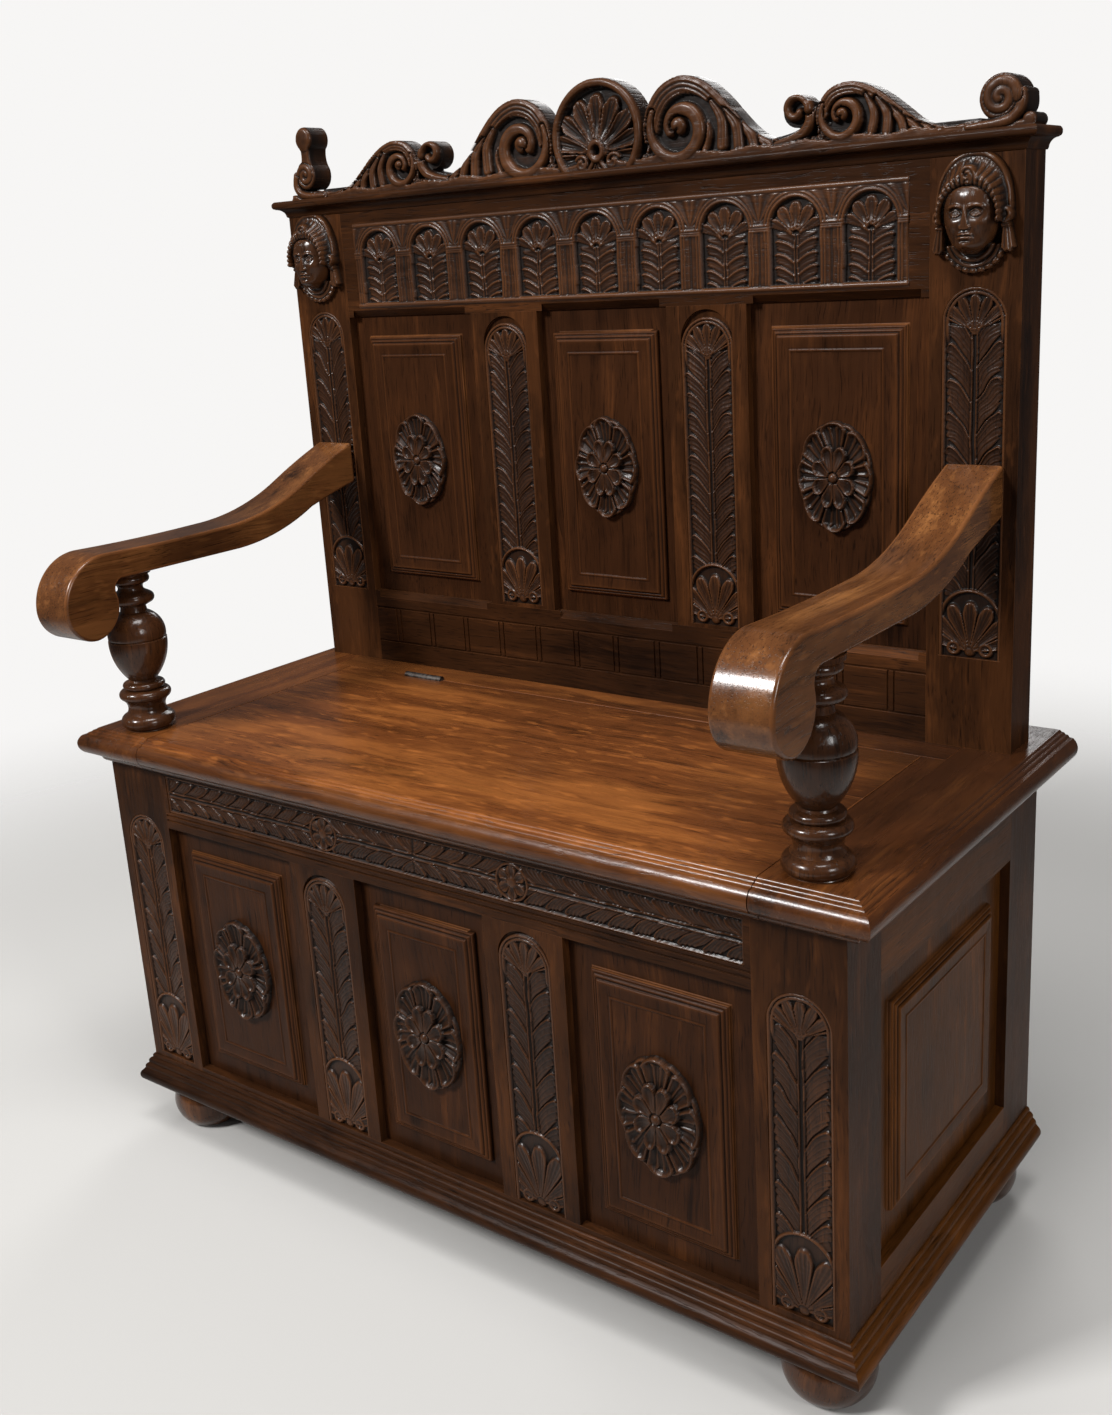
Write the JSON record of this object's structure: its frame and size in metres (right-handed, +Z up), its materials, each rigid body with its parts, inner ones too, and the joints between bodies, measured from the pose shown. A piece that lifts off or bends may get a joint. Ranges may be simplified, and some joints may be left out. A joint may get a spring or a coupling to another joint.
{
  "type": "box settle",
  "caption": "Carved oak box settle: panelled storage case with a hinged lid seat, scrolled open arms on turned posts, panelled back and scrolled cresting.",
  "frame": {"origin": "on the floor, under the middle of the whole object's box", "axes": "+Z up; the front faces -Y; +X is to the right seen from the front"},
  "size_m": [0.99, 0.537, 1.18],
  "materials": {
    "upright_oak": "waxed, dark, grain upright",
    "rail_oak": "waxed, dark, grain along the rail",
    "side_oak": "waxed, grain from front to back",
    "panel_oak": "waxed, dark, grain upright",
    "carved_oak": "waxed, worn on the raised edges",
    "seat_oak": "polished, red brown, figured",
    "seat_cross_oak": "polished, red brown, grain from front to back",
    "arm_oak": "polished, orange brown, mottled",
    "turned_oak": "waxed, glossy",
    "hinge_iron": "dull, dark"
  },
  "bodies": {
    "bench": {"bun_foot_front_left": "turned_oak", "bun_foot_front_right": "turned_oak", "bun_foot_rear_left": "turned_oak", "bun_foot_rear_right": "turned_oak", "front_post_left": "upright_oak", "front_post_right": "upright_oak", "rear_post_left": "upright_oak", "rear_post_right": "upright_oak", "front_top_rail": "rail_oak", "front_bottom_rail": "rail_oak", "front_muntin_left": "upright_oak", "front_muntin_right": "upright_oak", "front_panel_left": "panel_oak", "front_panel_centre": "panel_oak", "front_panel_right": "panel_oak", "front_rosettes": "carved_oak", "side_top_rail_left": "side_oak", "side_top_rail_right": "side_oak", "side_bottom_rail_left": "side_oak", "side_bottom_rail_right": "side_oak", "side_panel_left": "panel_oak", "side_panel_right": "panel_oak", "case_back_top_rail": "rail_oak", "case_back_bottom_rail": "rail_oak", "case_back_panel": "panel_oak", "bottom_boards": "side_oak", "plinth_front": "rail_oak", "plinth_left": "side_oak", "plinth_right": "side_oak", "seat_end_board_left": "seat_cross_oak", "seat_end_board_right": "seat_cross_oak", "seat_end_strips": "seat_cross_oak", "seat_back_board": "seat_oak", "hinge_fixed_leaves": "hinge_iron", "hinge_pins": "hinge_iron", "arm_post_left": "turned_oak", "arm_post_right": "turned_oak", "arm_left": "arm_oak", "arm_right": "arm_oak", "back_stile_left": "upright_oak", "back_stile_right": "upright_oak", "back_top_rail": "rail_oak", "back_bottom_rail": "rail_oak", "back_muntin_left": "upright_oak", "back_muntin_right": "upright_oak", "back_panel_left": "panel_oak", "back_panel_centre": "panel_oak", "back_panel_right": "panel_oak", "back_rosettes": "carved_oak", "mask_left": "carved_oak", "mask_right": "carved_oak", "cornice": "rail_oak", "cresting": "carved_oak", "finial_left": "carved_oak", "finial_right": "carved_oak"},
    "lid": {"lid_front_board": "seat_oak", "lid_middle_board": "seat_oak", "lid_rear_board": "seat_oak", "lid_battens": "side_oak", "hinge_lid_leaves": "hinge_iron"}
  },
  "joints": [
    {"name": "lid_hinge", "type": "hinge", "parent": "bench", "child": "lid", "pos_m": [0, 0.132, 0.515], "axis": [-1, 0, 0], "range_deg": [0, 95]}
  ]
}
